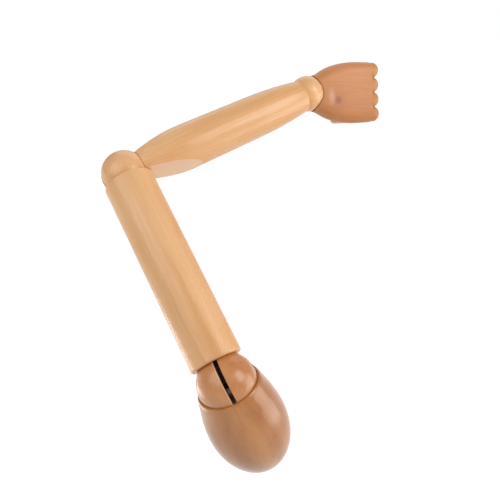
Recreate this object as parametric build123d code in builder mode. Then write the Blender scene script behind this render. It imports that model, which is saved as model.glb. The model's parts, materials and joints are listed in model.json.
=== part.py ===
"""A full-size jointed wooden mannequin arm: egg-shaped shoulder cap, three slotted balls, upper arm, forearm,
palm and folding fingers.

Every ball turns on two crossed pins. A flat steel tang swings in the first slot on a pin through the ball's
centre. A steel quadrant swings in the second slot: its arc-shaped eye slides on a pin set off the centre, so
that it too turns exactly about the ball's centre and the wooden cups stay concentric with the balls.

Millimetres and degrees, +Z up. The origin is the mouth of the fixing hole in the cap's flat inner face,
which faces +Y. The arm is stored bent, as it is held in the photograph.
"""

import os
from math import cos, radians, sin, sqrt
from typing import NamedTuple

from build123d import *

os.makedirs("parts", exist_ok=True)


class BallJoint(NamedTuple):
    """The sizes of one cross-slotted ball joint."""

    ball_radius: float
    plate_thickness: float
    tang_width: float
    tang_length: float
    quadrant_length: float
    eye_radius: float
    pin_radius: float
    orbit_radius: float
    tang_swing: float
    quadrant_swing: float
    tang_reach: float
    quadrant_reach: float


SHOULDER = BallJoint(
    ball_radius=30,
    plate_thickness=4,
    tang_width=13,
    tang_length=66,
    quadrant_length=54,
    eye_radius=6.5,
    pin_radius=2.5,
    orbit_radius=19.5,
    tang_swing=46,
    quadrant_swing=23,
    tang_reach=102,
    quadrant_reach=102,
)
ELBOW = BallJoint(
    ball_radius=25,
    plate_thickness=3.4,
    tang_width=11,
    tang_length=58,
    quadrant_length=58,
    eye_radius=5.5,
    pin_radius=2,
    orbit_radius=16.2,
    tang_swing=88,
    quadrant_swing=13,
    tang_reach=102,
    quadrant_reach=42,
)
WRIST = BallJoint(
    ball_radius=21,
    plate_thickness=3,
    tang_width=9,
    tang_length=50,
    quadrant_length=50,
    eye_radius=4.5,
    pin_radius=1.75,
    orbit_radius=13.6,
    tang_swing=33,
    quadrant_swing=23,
    tang_reach=33,
    quadrant_reach=65,
)

# The stored pose, joint by joint from the cap to the palm.
cap_tilt = 68
shoulder_swing = -1.4
shoulder_bend = 42
upper_arm_twist = 106.36
elbow_bend = 84.9
forearm_twist = 119.2355
wrist_bend = 7.6061
wrist_tilt = 19.8418

# Clearances and small working sizes shared by the joints.
cup_gap = 0.35
slot_play = 0.3
running_play = 0.05
overrun = 5
slot_floor_share = 0.66
quadrant_rim = 2.2
pin_recess = 1
cross_pin_radius = 1.5
cross_pin_grip = 6
cross_pin_shares = (0.66, 0.86)

# Shoulder cap: a turned egg with a cup at one end and a flat inner face.
cap_rim_height = 3
cap_rim_radius = 31.8
cap_radius = 41
cap_widest = 53
cap_length = 113
cap_flat = 34
cap_shoulder_shares = ((0.18, 0.3), (0.42, 0.62), (0.72, 0.9))

# Threaded brass insert in the cap's flat face.
insert_place = 60
insert_radius = 5
insert_bore = 3.3
insert_depth = 14

# Upper arm: a plain turned bar.
upper_arm_length = 245.7
upper_arm_radius = 26.8
upper_arm_land = 22
upper_arm_edge = 2.5
elbow_land = 10
elbow_edge = 2.4

# Forearm: a turned spindle with a flat cut inside the elbow.
forearm_length = 244.4
forearm_radius = 25.2
forearm_profile_shares = (
    (0.061, 0.615),
    (0.09, 0.71),
    (0.1416, 0.826),
    (0.2087, 0.945),
    (0.274, 0.994),
    (0.34, 1.0),
    (0.42, 0.993),
    (0.5, 0.984),
    (0.6, 0.972),
    (0.7, 0.96),
    (0.8, 0.917),
    (0.85, 0.877),
    (0.9, 0.827),
    (0.957, 0.746),
)
facet_depth = 10.9
facet_start = 24
facet_slope = 13.8

# Palm: station along the palm, half width and half thickness, as shares of the three sizes below.
palm_length = 95.3
palm_half_width = 37
palm_half_thickness = 15
palm_station_shares = (
    (0.073, 0.578, 0.96),
    (0.195, 0.727, 0.99),
    (0.3, 0.85, 1.0),
    (0.41, 0.925, 0.99),
    (0.54, 0.975, 0.96),
    (0.7, 0.992, 0.93),
    (0.85, 0.98, 0.92),
    (1.0, 0.93, 0.92),
)
palm_round_share = 0.93
knuckle_radius = 13.5
knuckle_pitch = 17.6
knuckle_round = 10
knuckle_half_width = 8.8
knuckle_rod_radius = 2

# Fingers, from the thumb side: proximal, middle and tip lengths as shares of the palm's length.
finger_names = ("index", "middle", "ring", "little")
finger_length_shares = (
    (0.409, 0.262, 0.21),
    (0.43, 0.262, 0.21),
    (0.409, 0.262, 0.21),
    (0.357, 0.22, 0.189),
)
finger_lengths = [[share * palm_length for share in shares] for shares in finger_length_shares]
finger_widths = (16.4, 15.6, 14.8)
finger_thicknesses = (16, 15, 14)
finger_round = 4
finger_folds = (90, 90, 62)
knuckle_eye = 5
finger_eye = 4.2
finger_pin_radius = 1.25
tongue_thickness = 6.4
fold_gap = 0.4

# Thumb, folded across the inside of the palm.
thumb_along_share = 0.304
thumb_along = thumb_along_share * palm_length
thumb_across = 12
thumb_below = 23
thumb_length_share = 0.388
thumb_length = thumb_length_share * palm_length
thumb_width = 15
thumb_thickness = 14
thumb_eye = 5
thumb_pin_radius = 1.5


def turned(place, x=0, about_x=0, about_y=0, about_z=0):
    """The place reached by going x along a place's own X axis and then turning about its X, Y and Z axes."""
    spin = Location((x, 0, 0), (about_x, 0, 0))
    return place * spin * Location((0, 0, 0), (0, about_y, 0)) * Location((0, 0, 0), (0, 0, about_z))


# Places of the pieces: X runs along each piece, Y along the tang's pin and Z along the quadrant's pin.
cap_plane = Plane(
    origin=(0, 0, 0),
    x_dir=(cos(radians(cap_tilt)), 0, -sin(radians(cap_tilt))),
    z_dir=(0, 1, 0),
)
cap_place = cap_plane.location * Location((-insert_place, 0, -cap_flat))
shoulder_place = turned(cap_place, about_z=shoulder_swing)
upper_arm_place = turned(shoulder_place, about_y=shoulder_bend - 180)
elbow_near = turned(upper_arm_place, upper_arm_length, about_x=upper_arm_twist)
forearm_place = turned(elbow_near, about_y=-elbow_bend)
wrist_near = turned(forearm_place, forearm_length, about_x=forearm_twist)
wrist_place = turned(wrist_near, about_y=wrist_bend)
hand_plate_place = turned(wrist_place, about_z=wrist_tilt)
palm_place = turned(hand_plate_place, about_x=-90)


def save(part, name, place):
    """Puts a finished piece in its place on the arm and writes it."""
    piece = part.moved(place)
    piece.label = name
    export_step(piece, f"parts/{name}.step")


def polar(radius, angle):
    """A point of a sketch at a radius and an angle."""
    return (radius * cos(radians(angle)), radius * sin(radians(angle)))


def ring_sector(inner, outer, middle, half):
    """Adds a ring sector to the open sketch."""
    with BuildLine() as outline:
        CenterArc((0, 0), outer, middle - half, 2 * half)
        CenterArc((0, 0), inner, middle - half, 2 * half)
        Line(polar(inner, middle - half), polar(outer, middle - half))
        Line(polar(inner, middle + half), polar(outer, middle + half))
    make_face(outline.edges())


def quadrant_half_width(joint):
    """Half the width of the quadrant's curved eye plate."""
    return joint.pin_radius + running_play + quadrant_rim


def ball_pin_half(joint):
    """Half the length of the pin through the ball's centre, which ends inside the second slot's floor."""
    return joint.orbit_radius - quadrant_half_width(joint) - slot_play - pin_recess


def orbit_pin_half(joint):
    """Half the length of the off-centre pin, which ends just under the ball's surface."""
    return sqrt(joint.ball_radius**2 - joint.orbit_radius**2) - 2 * pin_recess


def make_ball(joint):
    """A ball with its two crossed slots and its two pin holes."""
    slot = joint.plate_thickness + 2 * slot_play
    reach = joint.ball_radius + overrun
    with BuildPart() as ball:
        Sphere(joint.ball_radius, rotation=(0, 0, 180))
        with BuildSketch(Plane.XZ):
            Circle(joint.eye_radius + slot_play)
            for side in (-1, 1):
                with Locations(Location((0, 0), 180 + side * joint.tang_swing)):
                    Rectangle(reach, joint.tang_width + 2 * slot_play, align=(Align.MIN, Align.CENTER))
            ring_sector(joint.eye_radius / 2, reach, 180, joint.tang_swing)
            ring_sector(slot_floor_share * joint.ball_radius, reach, 180, joint.tang_reach)
        extrude(amount=slot / 2, both=True, mode=Mode.SUBTRACT)
        with BuildSketch(Plane.XY):
            inner = joint.orbit_radius - quadrant_half_width(joint) - slot_play
            ring_sector(inner, reach, 0, joint.quadrant_reach)
        extrude(amount=slot / 2, both=True, mode=Mode.SUBTRACT)
        with Locations(Location((0, 0, 0), (90, 0, 0))):
            Cylinder(joint.pin_radius, 2 * ball_pin_half(joint), mode=Mode.SUBTRACT)
        with Locations((joint.orbit_radius, 0, 0)):
            Cylinder(joint.pin_radius, 2 * reach, mode=Mode.SUBTRACT)
    return ball.part


def make_ball_pin(joint):
    """The pin through the ball's centre."""
    with BuildPart() as pin:
        with Locations(Location((0, 0, 0), (90, 0, 0))):
            Cylinder(joint.pin_radius, 2 * ball_pin_half(joint))
    return pin.part


def make_orbit_pin(joint):
    """The off-centre pin that the quadrant slides on."""
    with BuildPart() as pin:
        with Locations((joint.orbit_radius, 0, 0)):
            Cylinder(joint.pin_radius, 2 * orbit_pin_half(joint))
    return pin.part


def make_tang(joint):
    """A flat tang with an eye at the ball's centre and two holes for its cross pins."""
    with BuildPart() as tang:
        with BuildSketch(Plane.XZ):
            Circle(joint.eye_radius)
            Rectangle(joint.tang_length, joint.tang_width, align=(Align.MIN, Align.CENTER))
            Circle(joint.pin_radius + running_play, mode=Mode.SUBTRACT)
            with Locations(*[(share * joint.tang_length, 0) for share in cross_pin_shares]):
                Circle(cross_pin_radius, mode=Mode.SUBTRACT)
        extrude(amount=joint.plate_thickness / 2, both=True)
    return tang.part


def make_quadrant(joint):
    """A flat plate whose curved eye slides on the off-centre pin."""
    half = joint.quadrant_swing
    outline = CenterArc((0, 0), joint.orbit_radius, -half, 2 * half)
    with BuildPart() as quadrant:
        with BuildSketch(Plane.XY):
            SlotArc(outline, 2 * quadrant_half_width(joint))
            with Locations((joint.orbit_radius, 0)):
                shank = joint.quadrant_length - joint.orbit_radius
                Rectangle(shank, joint.tang_width, align=(Align.MIN, Align.CENTER))
            SlotArc(outline, 2 * (joint.pin_radius + running_play), mode=Mode.SUBTRACT)
            with Locations(*[(share * joint.quadrant_length, 0) for share in cross_pin_shares]):
                Circle(cross_pin_radius, mode=Mode.SUBTRACT)
        extrude(amount=joint.plate_thickness / 2, both=True)
    return quadrant.part


def make_cross_pins(length, lying, low, high):
    """The two dowel pins that hold a plate in the wood, from low to high across it."""
    tilt = (90, 0, 0) if lying else (0, 0, 0)
    with BuildPart() as pins:
        for share in cross_pin_shares:
            middle = (low + high) / 2
            spot = (share * length, middle if lying else 0, 0 if lying else middle)
            with Locations(Location(spot, tilt)):
                Cylinder(cross_pin_radius, high - low)
    return pins.part


def cut_cup(joint, seam):
    """Cuts a ball's cup into the open part, with the sphere's seam turned away from the wood."""
    Sphere(joint.ball_radius + cup_gap, rotation=(0, 0, seam), mode=Mode.SUBTRACT)


def seat_tang(joint, low, high):
    """Cuts the pocket of a tang, and its pin holes, into the open part."""
    Box(
        joint.tang_length,
        joint.plate_thickness,
        joint.tang_width,
        align=(Align.MIN, Align.CENTER, Align.CENTER),
        mode=Mode.SUBTRACT,
    )
    for share in cross_pin_shares:
        with Locations(Location((share * joint.tang_length, (low + high) / 2, 0), (90, 0, 0))):
            Cylinder(cross_pin_radius, high - low, mode=Mode.SUBTRACT)


def seat_quadrant(joint, low, high):
    """Cuts the pocket of a quadrant's shank, and its pin holes, into the open part."""
    Box(
        joint.quadrant_length,
        joint.tang_width,
        joint.plate_thickness,
        align=(Align.MIN, Align.CENTER, Align.CENTER),
        mode=Mode.SUBTRACT,
    )
    for share in cross_pin_shares:
        with Locations((share * joint.quadrant_length, 0, (low + high) / 2)):
            Cylinder(cross_pin_radius, high - low, mode=Mode.SUBTRACT)


def make_cap():
    """The turned egg with its cup, its flat inner face and the hole of the insert."""
    rise = cap_radius - cap_rim_radius
    run = cap_widest - cap_rim_height
    shoulder = [(cap_rim_height + a * run, cap_rim_radius + b * rise) for a, b in cap_shoulder_shares]
    with BuildPart() as cap:
        with BuildSketch(Plane.XY):
            with BuildLine():
                Line((cap_rim_height, 0), (cap_rim_height, cap_rim_radius))
                Spline(
                    (cap_rim_height, cap_rim_radius),
                    *shoulder,
                    (cap_widest, cap_radius),
                    tangents=[(1, 1), (1, 0)],
                    tangent_scalars=[0.5, 1],
                )
                EllipticalCenterArc((cap_widest, 0), cap_length - cap_widest, cap_radius, start_angle=0, arc_size=90)
                Line((cap_length, 0), (cap_rim_height, 0))
            make_face()
        revolve(axis=Axis.X)
        cut_cup(SHOULDER, 180)
        with Locations((0, 0, cap_flat)):
            Box(
                3 * cap_length,
                3 * cap_radius,
                cap_radius,
                align=(Align.CENTER, Align.CENTER, Align.MIN),
                mode=Mode.SUBTRACT,
            )
        seat_quadrant(SHOULDER, -cross_pin_grip, cap_flat + overrun)
        with Locations((insert_place, 0, cap_flat - insert_depth)):
            Cylinder(
                insert_radius,
                insert_depth,
                align=(Align.CENTER, Align.CENTER, Align.MIN),
                mode=Mode.SUBTRACT,
            )
    return cap.part


def make_insert():
    """The insert that takes the fixing screw."""
    with BuildPart() as insert:
        with Locations((insert_place, 0, cap_flat - insert_depth)):
            Cylinder(insert_radius, insert_depth, align=(Align.CENTER, Align.CENTER, Align.MIN))
            Cylinder(
                insert_bore,
                insert_depth,
                align=(Align.CENTER, Align.CENTER, Align.MIN),
                mode=Mode.SUBTRACT,
            )
    return insert.part


def make_upper_arm():
    """The plain bar with a cup at each end and pockets for its two tangs."""
    bar = upper_arm_length - upper_arm_land - elbow_land
    with BuildPart() as arm:
        with Locations(Location((upper_arm_land, 0, 0), (0, 90, 0))):
            Cylinder(upper_arm_radius, bar, align=(Align.CENTER, Align.CENTER, Align.MIN))
        ends = arm.edges().filter_by(GeomType.CIRCLE).sort_by(Axis.X)
        fillet(ends[0], upper_arm_edge)
        ends = arm.edges().filter_by(GeomType.CIRCLE).sort_by(Axis.X)
        fillet(ends[-1], elbow_edge)
        cut_cup(SHOULDER, 180)
        with Locations((upper_arm_length, 0, 0)):
            cut_cup(ELBOW, 0)
        seat_tang(SHOULDER, -cross_pin_grip, upper_arm_radius + overrun)
        with Locations(turned(Location(), upper_arm_length, about_x=upper_arm_twist, about_z=180)):
            seat_tang(ELBOW, -cross_pin_grip, upper_arm_radius + overrun)
    return arm.part


def make_forearm():
    """The spindle with its inner flat, a cup at each end and pockets for its two plates."""
    outline = [(a * forearm_length, b * forearm_radius) for a, b in forearm_profile_shares]
    with BuildPart() as arm:
        with BuildSketch(Plane.XY):
            with BuildLine():
                Spline(*outline)
                Line(outline[-1], (outline[-1][0], 0))
                Line((outline[-1][0], 0), (outline[0][0], 0))
                Line((outline[0][0], 0), outline[0])
            make_face()
        revolve(axis=Axis.X)
        with Locations(Location((facet_start, 0, facet_depth), (0, -facet_slope, 0))):
            Box(
                2 * forearm_length,
                3 * forearm_radius,
                2 * forearm_radius,
                align=(Align.CENTER, Align.CENTER, Align.MIN),
                mode=Mode.SUBTRACT,
            )
        cut_cup(ELBOW, 180)
        with Locations((forearm_length, 0, 0)):
            cut_cup(WRIST, 0)
        seat_quadrant(ELBOW, -forearm_radius, cross_pin_grip)
        with Locations(turned(Location(), forearm_length, about_x=forearm_twist, about_z=180)):
            seat_tang(WRIST, -cross_pin_grip, forearm_radius)
    return arm.part


def make_knuckle_outline():
    """The space the palm may fill: a plain block with four rounded knuckles at its far end, all about the rod."""
    far = 2 * palm_length
    rod_place = palm_length - knuckle_radius
    drop = knuckle_round - sqrt(knuckle_round**2 - knuckle_half_width**2)
    with BuildPart() as outline:
        with Locations((rod_place, 0, 0)):
            Box(far, far, far, align=(Align.MAX, Align.CENTER, Align.CENTER))
        for place in knuckle_places():
            with BuildSketch(Plane(origin=(rod_place, 0, place), x_dir=(1, 0, 0), z_dir=(0, 1, 0))):
                with BuildLine():
                    Line((0, -knuckle_half_width), (knuckle_radius - drop, -knuckle_half_width))
                    ThreePointArc(
                        (knuckle_radius - drop, -knuckle_half_width),
                        (knuckle_radius, 0),
                        (knuckle_radius - drop, knuckle_half_width),
                    )
                    Line((knuckle_radius - drop, knuckle_half_width), (0, knuckle_half_width))
                    Line((0, knuckle_half_width), (0, -knuckle_half_width))
                make_face()
            revolve(axis=Axis((rod_place, 0, 0), (0, 0, 1)))
    return outline.part


def make_palm():
    """The rounded palm with its cup, its scalloped and slotted knuckles and the thumb's two cheeks."""
    far = 2 * palm_length
    rod_place = palm_length - knuckle_radius
    with BuildPart() as palm:
        for along, wide, thick in palm_station_shares:
            with BuildSketch(Plane(origin=(along * palm_length, 0, 0), x_dir=(0, 0, 1), z_dir=(1, 0, 0))):
                height = 2 * thick * palm_half_thickness
                RectangleRounded(2 * wide * palm_half_width, height, palm_round_share * height / 2)
        loft()
        add(make_knuckle_outline(), mode=Mode.INTERSECT)
        with BuildSketch(Plane.YZ.offset(thumb_along - thumb_width / 2)):
            cheek = thumb_thickness / 2 + slot_play
            with Locations((-thumb_below, thumb_across)):
                Circle(cheek)
                Rectangle(thumb_below - cheek, 2 * cheek, align=(Align.MIN, Align.CENTER))
        extrude(amount=thumb_width)
        cut_cup(WRIST, 180)
        with Locations(Location((0, 0, 0), (90, 0, 0))):
            seat_quadrant(WRIST, -cross_pin_grip, palm_half_width)
        tongue_slot = tongue_thickness + 2 * slot_play
        for place in knuckle_places():
            with Locations((rod_place - knuckle_eye - fold_gap, knuckle_eye + fold_gap, place)):
                Box(far, far, tongue_slot, align=(Align.MIN, Align.MAX, Align.CENTER), mode=Mode.SUBTRACT)
        with Locations((rod_place, 0, knuckle_rod_high())):
            Cylinder(
                knuckle_rod_radius,
                far,
                align=(Align.CENTER, Align.CENTER, Align.MAX),
                mode=Mode.SUBTRACT,
            )
        with Locations((thumb_along, -palm_half_thickness, thumb_across)):
            Box(
                tongue_slot, far, palm_half_width, align=(Align.CENTER, Align.MAX, Align.CENTER), mode=Mode.SUBTRACT
            )
        with Locations(Location((thumb_along, -thumb_below, thumb_across), (0, 90, 0))):
            Cylinder(thumb_pin_radius, thumb_width, mode=Mode.SUBTRACT)
    return palm.part


def knuckle_places():
    """Where the four fingers lie across the palm, from the thumb side."""
    return [(1.5 - n) * knuckle_pitch for n in range(len(finger_names))]


def knuckle_rod_low():
    """The rod's outer end, just under the palm's edge."""
    return 2 * pin_recess - palm_half_width


def knuckle_rod_high():
    """The rod's blind end, inside the first knuckle."""
    return palm_half_width - knuckle_eye


def make_knuckle_rod():
    """The one rod that the four fingers turn on."""
    with BuildPart() as rod:
        with Locations((palm_length - knuckle_radius, 0, knuckle_rod_low())):
            Cylinder(
                knuckle_rod_radius,
                knuckle_rod_high() - knuckle_rod_low(),
                align=(Align.CENTER, Align.CENTER, Align.MIN),
            )
    return rod.part


def make_phalanx(length, width, thickness, shoulder, eye, pin, tongue_slot):
    """A finger bone: an eye on a tongue at its root, a rounded body, and a slot for the next tongue or a tip."""
    far = 2 * length
    with BuildPart() as bone:
        with BuildSketch(Plane.XY):
            with Locations((shoulder, 0)):
                Rectangle(length - shoulder, thickness, align=(Align.MIN, Align.CENTER))
            with Locations((length, 0)):
                Circle(thickness / 2)
            with Locations((shoulder, 0)):
                Rectangle(far, far, align=(Align.MAX, Align.CENTER), mode=Mode.SUBTRACT)
        extrude(amount=width / 2, both=True)
        fillet(bone.edges().filter_by(Axis.X), finger_round)
        with BuildSketch(Plane.XY):
            Circle(eye)
            Rectangle(shoulder + eye, 2 * eye, align=(Align.MIN, Align.CENTER))
        extrude(amount=tongue_thickness / 2, both=True)
        Cylinder(pin + running_play, width, mode=Mode.SUBTRACT)
        if tongue_slot:
            with Locations((length - finger_eye - fold_gap, finger_eye + slot_play, 0)):
                Box(far, far, tongue_slot, align=(Align.MIN, Align.MAX, Align.CENTER), mode=Mode.SUBTRACT)
            with Locations((length, 0, 0)):
                Cylinder(finger_pin_radius, width, mode=Mode.SUBTRACT)
    return bone.part


def make_finger_pin(place, radius, length):
    """A pin across a finger joint."""
    with BuildPart() as pin:
        with Locations((place, 0, 0)):
            Cylinder(radius, length - 2 * pin_recess)
    return pin.part


def save_joint(name, joint, place):
    """Writes a ball and its two pins."""
    save(make_ball(joint), f"{name}_ball", place)
    save(make_ball_pin(joint), f"{name}_centre_pin", place)
    save(make_orbit_pin(joint), f"{name}_quadrant_pin", place)


def save_finger(name, across, lengths):
    """Writes one finger's three bones and two pins, folded."""
    place = palm_place * Location((palm_length - knuckle_radius, 0, across))
    shoulder = knuckle_radius + fold_gap
    eye, pin = knuckle_eye, knuckle_rod_radius
    bones = ("proximal", "middle", "tip")
    for n, bone in enumerate(bones):
        last = n == len(bones) - 1
        place = turned(place, about_z=-finger_folds[n])
        slot = 0 if last else tongue_thickness + 2 * slot_play
        length = lengths[n] - finger_thicknesses[n] / 2 if last else lengths[n]
        bone_part = make_phalanx(length, finger_widths[n], finger_thicknesses[n], shoulder, eye, pin, slot)
        save(bone_part, f"{name}_{bone}", place)
        if not last:
            save(make_finger_pin(length, finger_pin_radius, finger_widths[n]), f"{name}_{bone}_pin", place)
            shoulder = finger_thicknesses[n] / 2 + fold_gap
            eye, pin = finger_eye, finger_pin_radius
            place = turned(place, length)


save_joint("shoulder", SHOULDER, shoulder_place)
save_joint("elbow", ELBOW, forearm_place)
save_joint("wrist", WRIST, wrist_place)

save(make_cap(), "shoulder_cap", cap_place)
save(make_insert(), "mount_insert", cap_place)
save(make_quadrant(SHOULDER), "cap_quadrant", cap_place)
save(
    make_cross_pins(SHOULDER.quadrant_length, False, -cross_pin_grip, cap_flat - pin_recess),
    "cap_cross_pins",
    cap_place,
)

elbow_tang_place = turned(elbow_near, about_z=180)
save(make_upper_arm(), "upper_arm", upper_arm_place)
save(make_tang(SHOULDER), "shoulder_tang", upper_arm_place)
save(make_tang(ELBOW), "elbow_tang", elbow_tang_place)
upper_pin_high = upper_arm_radius - pin_recess
save(
    make_cross_pins(SHOULDER.tang_length, True, -cross_pin_grip, upper_pin_high),
    "shoulder_cross_pins",
    upper_arm_place,
)
save(
    make_cross_pins(ELBOW.tang_length, True, -cross_pin_grip, upper_pin_high),
    "elbow_cross_pins",
    elbow_tang_place,
)

wrist_tang_place = turned(wrist_near, about_z=180)
save(make_forearm(), "forearm", forearm_place)
save(make_quadrant(ELBOW), "forearm_quadrant", forearm_place)
save(make_tang(WRIST), "wrist_tang", wrist_tang_place)
forearm_pin_low = forearm_profile_shares[2][1] * forearm_radius
save(
    make_cross_pins(ELBOW.quadrant_length, False, -forearm_pin_low, cross_pin_grip),
    "forearm_cross_pins",
    forearm_place,
)
wrist_pin_high = forearm_profile_shares[-1][1] * forearm_radius - pin_recess
save(
    make_cross_pins(WRIST.tang_length, True, -cross_pin_grip, wrist_pin_high),
    "wrist_cross_pins",
    wrist_tang_place,
)

save(make_palm(), "palm", palm_place)
save(make_quadrant(WRIST), "palm_quadrant", hand_plate_place)
save(
    make_cross_pins(WRIST.quadrant_length, False, -cross_pin_grip, palm_half_thickness - 2 * pin_recess),
    "palm_cross_pins",
    hand_plate_place,
)
save(make_knuckle_rod(), "knuckle_rod", palm_place)

for finger_name, finger_across, finger_length in zip(finger_names, knuckle_places(), finger_lengths):
    save_finger(finger_name, finger_across, finger_length)

thumb_plane = Plane(origin=(thumb_along, -thumb_below, thumb_across), x_dir=(0, 0, -1), z_dir=(-1, 0, 0))
thumb_place = palm_place * thumb_plane.location
thumb_shoulder = thumb_thickness / 2 + slot_play + fold_gap
thumb_bone = make_phalanx(
    thumb_length - thumb_thickness / 2, thumb_width, thumb_thickness, thumb_shoulder, thumb_eye, thumb_pin_radius, 0
)
save(thumb_bone, "thumb", thumb_place)
save(make_finger_pin(0, thumb_pin_radius, thumb_width), "thumb_pin", thumb_place)
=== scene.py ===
import json
import math

import bpy
from mathutils import Matrix, Vector


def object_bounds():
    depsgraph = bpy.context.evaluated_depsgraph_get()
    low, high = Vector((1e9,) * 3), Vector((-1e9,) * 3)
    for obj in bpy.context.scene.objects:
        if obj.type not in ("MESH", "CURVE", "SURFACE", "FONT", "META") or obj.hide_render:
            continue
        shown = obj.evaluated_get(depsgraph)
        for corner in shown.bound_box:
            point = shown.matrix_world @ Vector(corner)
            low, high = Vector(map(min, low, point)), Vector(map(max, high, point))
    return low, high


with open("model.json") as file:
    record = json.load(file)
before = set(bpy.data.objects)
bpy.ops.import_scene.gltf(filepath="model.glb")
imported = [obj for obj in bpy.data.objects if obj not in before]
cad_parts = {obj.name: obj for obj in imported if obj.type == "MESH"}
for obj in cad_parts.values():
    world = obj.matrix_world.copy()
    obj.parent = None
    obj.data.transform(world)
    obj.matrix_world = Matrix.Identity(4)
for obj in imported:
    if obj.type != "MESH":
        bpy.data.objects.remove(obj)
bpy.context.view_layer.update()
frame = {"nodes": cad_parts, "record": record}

NODES = frame["nodes"]
SLOTS = {record["node"]: record["material_slot"] for record in frame["record"]["subparts"]}

# Pose of the arm, in degrees, named as in the part's source
CAP_TILT = 68.0
SHOULDER_SWING = -1.4
SHOULDER_BEND = 42.0
UPPER_ARM_TWIST = 106.36
ELBOW_BEND = 84.9
FOREARM_TWIST = 119.2355
WRIST_BEND = 7.6061
WRIST_TILT = 19.8418
FINGER_FOLDS = (90.0, 90.0, 62.0)
FACET_SLOPE = 13.8

# Sizes of the arm, in metres, named as in the part's source
INSERT_PLACE = 0.060
CAP_FLAT = 0.034
SHOULDER_RADIUS = 0.030
ELBOW_RADIUS = 0.025
WRIST_RADIUS = 0.021
UPPER_ARM_LENGTH = 0.2457
FOREARM_LENGTH = 0.2444
PALM_LENGTH = 0.0953
KNUCKLE_RADIUS = 0.0135
KNUCKLE_PITCH = 0.0176
FINGER_NAMES = ("index", "middle", "ring", "little")
BONE_NAMES = ("proximal", "middle", "tip")
FINGER_LENGTHS = (
    (0.039, 0.025, 0.020),
    (0.041, 0.025, 0.020),
    (0.039, 0.025, 0.020),
    (0.034, 0.021, 0.018),
)
THUMB_ALONG = 0.029
THUMB_BELOW = 0.023
THUMB_ACROSS = 0.012


def turn(axis, degrees):
    """A turn about an axis of the place before it."""
    return Matrix.Rotation(math.radians(degrees), 4, axis)


def shift(x, y=0, z=0):
    """A shift along the axes of the place before it."""
    return Matrix.Translation((x, y, z))


def axes(x, y, z):
    """A place at the origin with these three axes."""
    return Matrix((x, y, z)).transposed().to_4x4()


# Places of the pieces, each chained to the one before it, X along the piece
slope = math.radians(CAP_TILT)
cap_x = Vector((math.cos(slope), 0, -math.sin(slope)))
cap_z = Vector((0, 1, 0))
CAP = axes(cap_x, cap_z.cross(cap_x), cap_z) @ shift(-INSERT_PLACE, 0, -CAP_FLAT)
SHOULDER = CAP @ turn("Z", SHOULDER_SWING)
UPPER_ARM = SHOULDER @ turn("Y", SHOULDER_BEND - 180)
ELBOW = UPPER_ARM @ shift(UPPER_ARM_LENGTH) @ turn("X", UPPER_ARM_TWIST)
FOREARM = ELBOW @ turn("Y", -ELBOW_BEND)
WRIST = FOREARM @ shift(FOREARM_LENGTH) @ turn("X", FOREARM_TWIST) @ turn("Y", WRIST_BEND)
PALM = WRIST @ turn("Z", WRIST_TILT) @ turn("X", -90)
THUMB = PALM @ shift(THUMB_ALONG, -THUMB_BELOW, THUMB_ACROSS) @ turn("Y", 90)
facet = math.radians(FACET_SLOPE)
FACET_WAY = FOREARM.to_3x3() @ Vector((-math.sin(facet), 0, math.cos(facet)))

# Camera at the photograph's angle, fitted to the photograph
LENS = 43.2
SENSOR_WIDTH = 36.0
CLIP_START = 0.01
CAMERA_FROM_SHOULDER = Vector((-0.09935, -0.47090, 0.34374))
LOOK = Vector((0.2311, 0.8906, -0.3918)).normalized()
ROUGHLY_UP = Vector((0.0984, 0.3792, 0.9201))
RIGHT = LOOK.cross(ROUGHLY_UP).normalized()
UP = RIGHT.cross(LOOK).normalized()


def add_camera():
    """The photograph's camera."""
    data = bpy.data.cameras.new("camera")
    data.sensor_width = SENSOR_WIDTH
    data.lens = LENS
    data.clip_start = CLIP_START
    camera = bpy.data.objects.new("camera", data)
    place = axes(RIGHT, UP, -LOOK)
    place.translation = CAP.to_translation() + CAMERA_FROM_SHOULDER
    camera.matrix_world = place
    bpy.context.collection.objects.link(camera)
    bpy.context.scene.camera = camera


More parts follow.
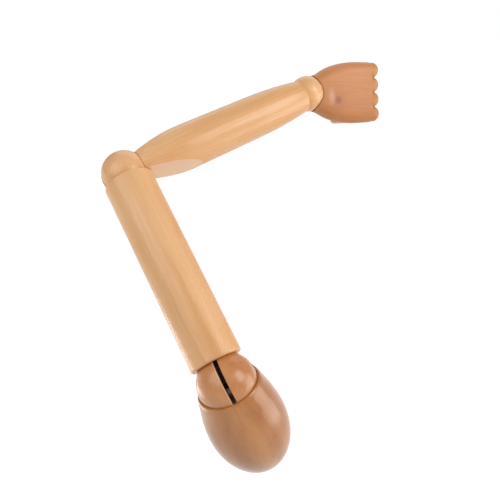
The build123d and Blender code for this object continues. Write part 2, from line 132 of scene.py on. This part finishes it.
# Materials
class Net:
    """A small helper that adds nodes to a material and links them."""

    def __init__(self, name):
        self.material = bpy.data.materials.new(name)
        self.material.use_nodes = True
        self.tree = self.material.node_tree
        self.shader = next(n for n in self.tree.nodes if n.type == "BSDF_PRINCIPLED")
        self.output = next(n for n in self.tree.nodes if n.type == "OUTPUT_MATERIAL")

    def add(self, kind, **inputs):
        """A node of a kind, with its inputs fed by name."""
        node = self.tree.nodes.new(kind)
        for key, value in inputs.items():
            self.feed(node.inputs[key], value)
        return node

    def feed(self, socket, value):
        """Links a socket to another, or sets it."""
        if isinstance(value, bpy.types.NodeSocket):
            self.tree.links.new(value, socket)
        else:
            socket.default_value = value

    def surface(self, **inputs):
        """Feeds the material's shader, with underscores for the spaces of its sockets' names."""
        for key, value in inputs.items():
            self.feed(self.shader.inputs[key.replace("_", " ")], value)

    def math(self, operation, a, b):
        node = self.tree.nodes.new("ShaderNodeMath")
        node.operation = operation
        self.feed(node.inputs[0], a)
        self.feed(node.inputs[1], b)
        return node.outputs[0]

    def within(self, a, b, reach):
        """One where two numbers are within a reach of each other, and zero elsewhere."""
        node = self.tree.nodes.new("ShaderNodeMath")
        node.operation = "COMPARE"
        for socket, value in zip(node.inputs, (a, b, reach)):
            self.feed(socket, value)
        return node.outputs[0]

    def measure(self, operation, a, b=(0, 0, 0)):
        """The length of a vector, its distance from a point or its product with another."""
        node = self.tree.nodes.new("ShaderNodeVectorMath")
        node.operation = operation
        self.feed(node.inputs[0], a)
        self.feed(node.inputs[1], b)
        return node.outputs["Value"]

    def mix(self, factor, a, b):
        node = self.tree.nodes.new("ShaderNodeMix")
        node.data_type = "RGBA"
        self.feed(node.inputs[0], factor)
        self.feed(node.inputs[6], a)
        self.feed(node.inputs[7], b)
        return node.outputs[2]

    def ramp(self, value, low, high, to_low=0.0, to_high=1.0):
        """A smooth step from one value to another."""
        node = self.tree.nodes.new("ShaderNodeMapRange")
        node.interpolation_type = "SMOOTHSTEP"
        for socket, number in zip(node.inputs, (value, low, high, to_low, to_high)):
            self.feed(socket, number)
        return node.outputs[0]

    def fade(self, distance, near, far, cover):
        """A cover that fades to nothing from near to far."""
        return self.ramp(distance, near, far, cover, 0.0)

    def local(self, where):
        """Coordinates in a piece's own place, in metres, X along its grain."""
        coords = self.tree.nodes.new("ShaderNodeTexCoord")
        mapping = self.tree.nodes.new("ShaderNodeMapping")
        mapping.vector_type = "TEXTURE"
        self.feed(mapping.inputs["Location"], where.to_translation())
        self.feed(mapping.inputs["Rotation"], where.to_euler("XYZ"))
        self.feed(mapping.inputs["Vector"], coords.outputs["Object"])
        return mapping.outputs["Vector"]

    def stretch(self, vector, scale, offset=(0, 0, 0)):
        return self.add("ShaderNodeMapping", Vector=vector, Scale=scale, Location=offset).outputs["Vector"]

    def noise(self, vector, scale, detail, roughness):
        node = self.add("ShaderNodeTexNoise", Vector=vector, Scale=scale, Detail=detail, Roughness=roughness)
        return node.outputs["Fac"]

    def pattern(self, at, kind, offset):
        """One of the named patterns, moved by an offset so that no two pieces match."""
        stretched, scale, detail, roughness = kind
        return self.noise(self.stretch(at, stretched, offset), scale, detail, roughness)

    def bump(self, height, strength, distance):
        node = self.add("ShaderNodeBump", Height=height, Strength=strength, Distance=distance)
        self.surface(Normal=node.outputs["Normal"])


def colour(r, g, b):
    """A colour given as the picture shows it, 0 to 255."""
    out = []
    for c in (r, g, b):
        c /= 255.0
        out.append(c / 12.92 if c <= 0.04045 else ((c + 0.055) / 1.055) ** 2.4)
    return (*out, 1.0)


def darker(tone, share):
    """A colour at a share of its brightness."""
    return colour(*[c * share for c in tone])


# Noises: scale, detail and roughness
WORN = (70.0, 4.0, 0.6)
WAVES = (46.0, 3.0, 0.5)
STAINS = (220.0, 4.0, 0.6)
BLOTCHES = (3.0, 3.0, 0.5)

# Patterns: stretch along and across the grain, then scale, detail and roughness
SLOW = ((3.0, 12.0, 12.0), 2.2, 3.0, 0.55)
WANDER = ((6.0, 26.0, 26.0), 1.6, 3.0, 0.5)
FIBRES = ((28.0, 1500.0, 1500.0), 1.0, 4.0, 0.6)
STREAKS = ((9.0, 420.0, 420.0), 1.0, 3.0, 0.55)
FLECKS = ((520.0, 2600.0, 3600.0), 1.0, 1.0, 0.5)
DRAWN_LINES = ((60.0, 2400.0, 2400.0), 1.0, 3.0, 0.6)

# The stretch of each pattern's values over which it comes in
SLOW_RANGE = (0.3, 0.72)
STREAK_RANGE = (0.35, 0.75)
FIBRE_RANGE = (0.45, 0.8)
FLECK_RANGE = (0.63, 0.74)

# Growth rings: how far they wander, in metres, where in a ring the late wood starts and is darkest, and how
# strong it is in plain and in figured places
WANDER_REACH = 0.014
LATE_START = 0.35
LATE_END = 0.97
PLAIN_SHARE = 0.175
FIGURED_SHARE = 0.5

# Shades over the wood's tone: how much of it each covers, and its share of the deep tone's brightness
LATE_SHADE = (0.3, 0.8)
STREAK_SHADE = (0.16, 0.84)
FIBRE_SHADE = (0.13, 0.7)
FLECK_SHADE = (0.24, 0.64)

# Colours of the wood: a light and a deep tone, then single tones
PALE = ((236, 186, 136), (226, 169, 113))
WARM = ((204, 140, 90), (192, 126, 76))
GOLD = ((214, 150, 98), (192, 124, 72))
BROWN = ((202, 140, 82), (168, 102, 48))
SANDED_AND_LIT = ((250, 216, 186), (240, 198, 160))
BARE = ((238, 206, 172), (222, 180, 138))
SLOT_PAINTED_SHADE = (118, 74, 50)
KNOT_HEART = (140, 82, 74)
KNOT_HALO = (178, 104, 76)
PAINTED_HIGHLIGHT = (224, 182, 158)
CUP_PAINTED_SHADE = (118, 62, 34)

# Colours of the metals
STEEL = (176, 176, 178)
PIN_STEEL = (128, 104, 82)
DARK_STEEL = (84, 60, 48)
BRASS = (214, 176, 96)

# The palm's knot in the palm's own place, how far round it the rings bend and by how much, then the painted
# highlight beside it; the halo, the heart and the cup's painted shade below fade over a stretch of distances,
# from a cover
KNOT = (0.0345, 0.0148, 0.0095)
KNOT_REACH = 0.016
KNOT_PULL = 0.009
HIGHLIGHT_BACK = 0.0085
HIGHLIGHT_UP = 0.0045
HIGHLIGHT_RADIUS = 0.0068
HIGHLIGHT_SQUEEZE = 0.5
HALO = (0.003, 0.018, 0.42)
HEART = (0.0012, 0.0068, 0.62)
HIGHLIGHT_COVER = 0.5

# Painted shade: a dark line round the edge of the palm's cup, where the gap against the wrist ball lies in
# shade
CUP_SHADE_GAP = 0.0003
CUP_SHADE_WIDTH = 0.0014
CUP_SHADE_COVER = 0.8

# The forearm's cut flat, paler as sanded wood and with painted light that lifts it out of its shade: where it
# comes in, as the cosine of the angle to its face, and its cover
FLAT_RANGE = (0.985, 0.997)
FLAT_COVER = 0.85

# The bare wood inside a ball's slots: the depths over which it and the painted shade deeper in come in, then
# one slot's lip, painted pale: bare wood, and a painted highlight where its lit edge shows
LACQUER_DEPTH = (0.0009, 0.0004)
PAINTED_SHADE_DEPTH = (0.0052, 0.0016)
LIP_PLACE = 0.0026
LIP_HALF_WIDTH = 0.0004
LIP_COVER = 0.8

# How far the grain of each ball is turned from its place, in degrees
SHOULDER_GRAIN = 20
ELBOW_GRAIN = 90
WRIST_GRAIN = 60

# How far apart the finger bones' seeds lie
SEED_STEP = 0.37


def late_wood(net, at, slow, seed, pith, ring, knot):
    """How much late wood shows, 0 to 1: rings round a pith beside the piece, which bend round a knot."""
    split = net.add("ShaderNodeSeparateXYZ", Vector=at)
    across = net.math("SUBTRACT", split.outputs["Y"], pith[0])
    deep = net.math("SUBTRACT", split.outputs["Z"], pith[1])
    square = net.math("ADD", net.math("MULTIPLY", across, across), net.math("MULTIPLY", deep, deep))
    wander = net.pattern(at, WANDER, (0, seed, seed))
    bent = net.math("ADD", net.math("POWER", square, 0.5), net.math("MULTIPLY", wander, WANDER_REACH))
    if knot:
        pull = net.fade(net.measure("DISTANCE", at, knot), 0.0, KNOT_REACH, 1.0)
        bent = net.math("ADD", bent, net.math("MULTIPLY", pull, KNOT_PULL))
    phase = net.math("FRACT", net.math("DIVIDE", bent, ring), 0.0)
    rise = net.ramp(phase, LATE_START, LATE_END)
    fall = net.ramp(phase, LATE_END, 1.0, 1.0, 0.0)
    figure = net.ramp(slow, 0.25, 0.75, PLAIN_SHARE, FIGURED_SHARE)
    return net.math("MULTIPLY", net.math("MULTIPLY", rise, fall), figure)


def knot_and_painted_highlight(net, at, streak, tone):
    """A dark knot with a halo, and a painted highlight beside it."""
    near = net.measure("DISTANCE", at, KNOT)
    tone = net.mix(net.fade(near, *HALO), tone, colour(*KNOT_HALO))
    tone = net.mix(net.fade(near, *HEART), tone, colour(*KNOT_HEART))
    # Painted highlight: a pale oval spot beside the knot, where a reflection lies on the palm's back
    middle = (KNOT[0] - HIGHLIGHT_BACK, KNOT[1], (KNOT[2] - HIGHLIGHT_UP) * HIGHLIGHT_SQUEEZE)
    painted_highlight = net.measure("DISTANCE", net.stretch(at, (1.0, 1.0, HIGHLIGHT_SQUEEZE)), middle)
    return net.mix(net.fade(painted_highlight, 0.0, HIGHLIGHT_RADIUS, HIGHLIGHT_COVER), tone, colour(*PAINTED_HIGHLIGHT))


def painted_cup_shade(net, at, streak, tone):
    """Painted shade: a dark line round the edge of the palm's cup, in the gap against the wrist ball."""
    edge = WRIST_RADIUS + CUP_SHADE_GAP
    line = net.fade(net.measure("LENGTH", at), edge, edge + CUP_SHADE_WIDTH, CUP_SHADE_COVER)
    return net.mix(line, tone, colour(*CUP_PAINTED_SHADE))


def sanded_and_lit_flat(net, at, streak, tone):
    """Paler wood where the forearm's flat was cut: sanded wood, and painted light that lifts the flat out of
    its shade.
    """
    normal = net.add("ShaderNodeTexCoord").outputs["Normal"]
    sanded_and_lit = net.ramp(net.measure("DOT_PRODUCT", normal, FACET_WAY), *FLAT_RANGE, 0.0, FLAT_COVER)
    return net.mix(sanded_and_lit, tone, net.mix(streak, colour(*SANDED_AND_LIT[0]), colour(*SANDED_AND_LIT[1])))


def bare_and_shaded_slots(radius, lip=False):
    """Bare wood inside the slots of a ball of this radius, darkened deeper in as painted shade, and along one
    slot's lip if told so, pale as bare wood and as a painted highlight.
    """

    def dress(net, at, streak, tone):
        reach = net.measure("LENGTH", at)
        bare = net.mix(streak, colour(*BARE[0]), colour(*BARE[1]))
        # Painted shade: deeper inside the ball the bare wood turns dark brown, where the slots and bores lie
        # in shade
        shade = net.fade(reach, radius - PAINTED_SHADE_DEPTH[0], radius - PAINTED_SHADE_DEPTH[1], 1.0)
        inside = net.fade(reach, radius - LACQUER_DEPTH[0], radius - LACQUER_DEPTH[1], 1.0)
        tone = net.mix(inside, tone, net.mix(shade, bare, colour(*SLOT_PAINTED_SHADE)))
        if lip:
            # The lip: bare wood, painted pale along the edge as a painted highlight where the lit edge of the
            # slot shows
            split = net.add("ShaderNodeSeparateXYZ", Vector=at)
            bare_and_lit_lip = net.within(split.outputs["Y"], LIP_PLACE, LIP_HALF_WIDTH)
            tone = net.mix(net.math("MULTIPLY", bare_and_lit_lip, LIP_COVER), tone, bare)
        return tone

    return dress


def wood(
    name, where, tones, seed,
    pith=(0.045, 0.07), ring=0.0042, rough=0.34, coat=0.35, knot=None, dressings=(),
):
    """Lacquered beech: rings, fibres, short dark flecks and slow changes of colour, then its dressings."""
    net = Net(name)
    at = net.local(where)
    light, deep = tones
    slow = net.pattern(at, SLOW, (seed, seed, 0))
    fibre = net.pattern(at, FIBRES, (seed, 0, 0))
    streak = net.pattern(at, STREAKS, (0, seed, 0))
    fleck = net.ramp(net.pattern(at, FLECKS, (0, 0, seed)), *FLECK_RANGE)
    late = late_wood(net, at, slow, seed, pith, ring, knot)
    tone = net.mix(net.ramp(slow, *SLOW_RANGE), colour(*light), colour(*deep))
    shades = (
        (late, LATE_SHADE),
        (net.ramp(streak, *STREAK_RANGE), STREAK_SHADE),
        (net.ramp(fibre, *FIBRE_RANGE), FIBRE_SHADE),
        (fleck, FLECK_SHADE),
    )
    for value, (cover, share) in shades:
        tone = net.mix(net.math("MULTIPLY", value, cover), tone, darker(deep, share))
    for dress in dressings:
        tone = dress(net, at, streak, tone)
    worn = net.ramp(net.noise(at, *WORN), 0.3, 0.75, rough - 0.05, rough + 0.07)
    net.surface(Base_Color=tone, Roughness=net.math("ADD", worn, net.math("MULTIPLY", fibre, 0.05)))
    net.surface(IOR=1.5, Specular_IOR_Level=0.45)
    net.surface(Coat_Weight=coat, Coat_Roughness=0.2, Coat_IOR=1.5)
    waves = net.math("MULTIPLY", net.noise(at, *WAVES), 1.6)
    height = net.math("ADD", net.math("MULTIPLY", fibre, 0.6), waves)
    height = net.math("SUBTRACT", height, net.math("MULTIPLY", fleck, 0.5))
    net.bump(height, strength=0.22, distance=0.00022)
    return net.material


def metal(name, where, base, rough, seed):
    """Plated or turned metal with fine drawn lines and slow stains."""
    net = Net(name)
    at = net.local(where)
    lines = net.pattern(at, DRAWN_LINES, (seed, 0, 0))
    stain = net.ramp(net.noise(at, *STAINS), 0.35, 0.75, 0.0, 0.4)
    net.surface(Base_Color=net.mix(stain, colour(*base), darker(base, 0.7)), Metallic=1.0)
    net.surface(Roughness=net.ramp(lines, 0.3, 0.7, rough - 0.06, rough + 0.1))
    net.bump(lines, strength=0.15, distance=0.00005)
    return net.material


def arm_woods():
    """The wood of each large piece, by its node's name."""
    shoulder_slots = bare_and_shaded_slots(SHOULDER_RADIUS, lip=True)
    return {
        "upper_arm": wood(
            "beech_upper_arm", UPPER_ARM, PALE, seed=3.1,
            pith=(0.05, -0.06), ring=0.0048, coat=0.2,
        ),
        "forearm": wood(
            "beech_forearm", FOREARM, PALE, seed=7.7,
            pith=(-0.03, 0.075), ring=0.0044, dressings=[sanded_and_lit_flat],
        ),
        "elbow_ball": wood(
            "beech_elbow_ball", ELBOW @ turn("Z", ELBOW_GRAIN), PALE, seed=11.3,
            pith=(0.03, 0.05), ring=0.0036, dressings=[bare_and_shaded_slots(ELBOW_RADIUS)],
        ),
        "shoulder_ball": wood(
            "beech_shoulder_ball", SHOULDER @ turn("Y", SHOULDER_GRAIN), GOLD, seed=5.9,
            pith=(0.03, 0.06), ring=0.0036, rough=0.3, coat=0.5, dressings=[shoulder_slots],
        ),
        "shoulder_cap": wood(
            "beech_cap", CAP, BROWN, seed=2.4,
            pith=(0.02, -0.09), ring=0.0052, rough=0.3, coat=0.6,
        ),
        "wrist_ball": wood(
            "beech_wrist_ball", WRIST @ turn("Z", WRIST_GRAIN), PALE, seed=9.2,
            pith=(0.02, 0.04), ring=0.0032, dressings=[bare_and_shaded_slots(WRIST_RADIUS)],
        ),
        "palm": wood(
            "beech_palm", PALM, WARM, seed=4.6,
            pith=(0.06, 0.05), ring=0.0032, rough=0.5, coat=0.08, knot=KNOT, dressings=[knot_and_painted_highlight, painted_cup_shade],
        ),
        "thumb": wood("beech_thumb", THUMB, WARM, seed=1.7),
    }


def finger_woods():
    """The wood of each finger bone, by its node's name, with its grain along the folded bone."""
    woods = {}
    for n, finger in enumerate(FINGER_NAMES):
        place = PALM @ shift(PALM_LENGTH - KNUCKLE_RADIUS, 0, (1.5 - n) * KNUCKLE_PITCH)
        for k, bone in enumerate(BONE_NAMES):
            place = place @ turn("Z", -FINGER_FOLDS[k])
            seed = SEED_STEP * (5 * n + k + 1)
            woods[f"{finger}_{bone}"] = wood(f"beech_{finger}_{bone}", place, WARM, seed, ring=0.003)
            place = place @ shift(FINGER_LENGTHS[n][k])
    return woods


def dress_nodes():
    """Gives every piece its material: wood by name, and metal by slot or by the end of the name."""
    woods = {**arm_woods(), **finger_woods()}
    steel = metal("plated_steel", FOREARM, STEEL, rough=0.34, seed=1.0)
    pin_steel = metal("dull_pin_steel", FOREARM, PIN_STEEL, rough=0.5, seed=5.0)
    dark_steel = metal("blackened_steel", FOREARM, DARK_STEEL, rough=0.46, seed=3.0)
    brass = metal("turned_brass", CAP @ turn("Y", 90), BRASS, rough=0.28, seed=2.0)
    for name, node in NODES.items():
        if node.type != "MESH":
            continue
        if name in woods:
            chosen = woods[name]
        elif name.endswith("_quadrant_pin"):
            chosen = woods[name.replace("quadrant_pin", "ball")]
        elif name.endswith("_centre_pin"):
            chosen = pin_steel
        elif name.endswith(("_tang", "_quadrant")):
            chosen = dark_steel
        elif SLOTS.get(name) == "brass":
            chosen = brass
        else:
            chosen = steel
        if not node.material_slots:
            node.data.materials.append(chosen)
        for holder in node.material_slots:
            holder.material = chosen


# Floor, world and lights
FLOOR_HALF_SIDE = 12.0
FLOOR_DROP = 0.40
FLOOR_GLOW = 1.12
FLOOR_GLOW_SHARE = 0.88
PAPER = (0.86, 0.86, 0.86, 1)
PAPER_SHADE = (0.83, 0.83, 0.83, 1)
WORLD_TINT = (1.0, 0.985, 0.97, 1)
WORLD_STRENGTH = 0.38
WHITE = (1, 1, 1, 1)
LAMP_TINT = (1.0, 0.98, 0.95)
WARM_TINT = (1.0, 0.96, 0.90)
AMBER_TINT = (1.0, 0.93, 0.84)
ARM_MIDDLE = Vector((0.0, 0.06, 0.13))


def floor_paper():
    """Pale paper that the camera sees as nearly white."""
    net = Net("floor_paper")
    blotches = net.ramp(net.noise(net.local(Matrix()), *BLOTCHES), 0.3, 0.7, 0.0, 0.3)
    net.surface(Base_Color=net.mix(blotches, PAPER, PAPER_SHADE), Roughness=0.9, Specular_IOR_Level=0.1)
    rays = net.tree.nodes.new("ShaderNodeLightPath").outputs
    seen = net.math("MAXIMUM", rays["Is Camera Ray"], rays["Is Glossy Ray"])
    seen = net.math("MAXIMUM", seen, rays["Is Transmission Ray"])
    white = net.add("ShaderNodeEmission", Strength=FLOOR_GLOW)
    blend = net.tree.nodes.new("ShaderNodeMixShader")
    net.feed(blend.inputs[0], net.math("MULTIPLY", seen, FLOOR_GLOW_SHARE))
    net.feed(blend.inputs[1], net.shader.outputs[0])
    net.feed(blend.inputs[2], white.outputs[0])
    net.feed(net.output.inputs["Surface"], blend.outputs[0])
    return net.material


def add_floor():
    """A wide sheet well below the arm."""
    side = FLOOR_HALF_SIDE
    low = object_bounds()[0][2] - FLOOR_DROP
    corners = [(-side, -side, low), (side, -side, low), (side, side, low), (-side, side, low)]
    mesh = bpy.data.meshes.new("floor")
    mesh.from_pydata(corners, [], [(0, 1, 2, 3)])
    mesh.materials.append(floor_paper())
    floor = bpy.data.objects.new("floor", mesh)
    bpy.context.collection.objects.link(floor)


def add_world():
    """Soft light from all round, behind a background that the camera sees as white."""
    world = bpy.data.worlds.new("studio")
    bpy.context.scene.world = world
    world.use_nodes = True
    tree = world.node_tree
    tree.nodes.clear()
    shade = tree.nodes.new("ShaderNodeMixShader")
    for place, tint, strength in ((1, WORLD_TINT, WORLD_STRENGTH), (2, WHITE, 1.0)):
        background = tree.nodes.new("ShaderNodeBackground")
        background.inputs["Color"].default_value = tint
        background.inputs["Strength"].default_value = strength
        tree.links.new(background.outputs[0], shade.inputs[place])
    rays = tree.nodes.new("ShaderNodeLightPath")
    either = tree.nodes.new("ShaderNodeMath")
    either.operation = "MAXIMUM"
    tree.links.new(rays.outputs["Is Camera Ray"], either.inputs[0])
    tree.links.new(rays.outputs["Is Transmission Ray"], either.inputs[1])
    tree.links.new(either.outputs[0], shade.inputs[0])
    out = tree.nodes.new("ShaderNodeOutputWorld")
    tree.links.new(shade.outputs[0], out.inputs["Surface"])


def lamp(name, toward, distance, size, power, tint=LAMP_TINT):
    """An area lamp in a direction told as right, up and near of the picture, aimed at the arm's middle."""
    data = bpy.data.lights.new(name, "AREA")
    data.shape = "RECTANGLE"
    data.size, data.size_y = size
    data.energy = power
    data.color = tint
    light = bpy.data.objects.new(name, data)
    way = (RIGHT * toward[0] + UP * toward[1] - LOOK * toward[2]).normalized()
    light.location = ARM_MIDDLE + way * distance
    light.rotation_euler = (-way).to_track_quat("-Z", "Y").to_euler()
    light.visible_camera = False
    bpy.context.collection.objects.link(light)


def add_lamps():
    """The photograph's lights: the highlights that they leave lie where the photograph shows them."""
    lamp("key", toward=(0.74, 0.42, 0.53), distance=1.2, size=(0.6, 0.7), power=6)
    lamp("side", toward=(0.99, -0.06, 0.05), distance=1.0, size=(0.7, 0.6), power=3.8, tint=AMBER_TINT)
    lamp("fill", toward=(-0.60, 0.35, 0.72), distance=1.7, size=(1.5, 1.2), power=12, tint=WARM_TINT)
    lamp("rim", toward=(-0.52, -0.70, -0.45), distance=0.8, size=(0.6, 0.8), power=3.6, tint=WARM_TINT)
    lamp("top", toward=(0.05, 0.85, -0.45), distance=1.3, size=(1.4, 0.8), power=3)


add_camera()
dress_nodes()
add_floor()
add_world()
add_lamps()
bpy.context.scene.view_settings.view_transform = "Standard"
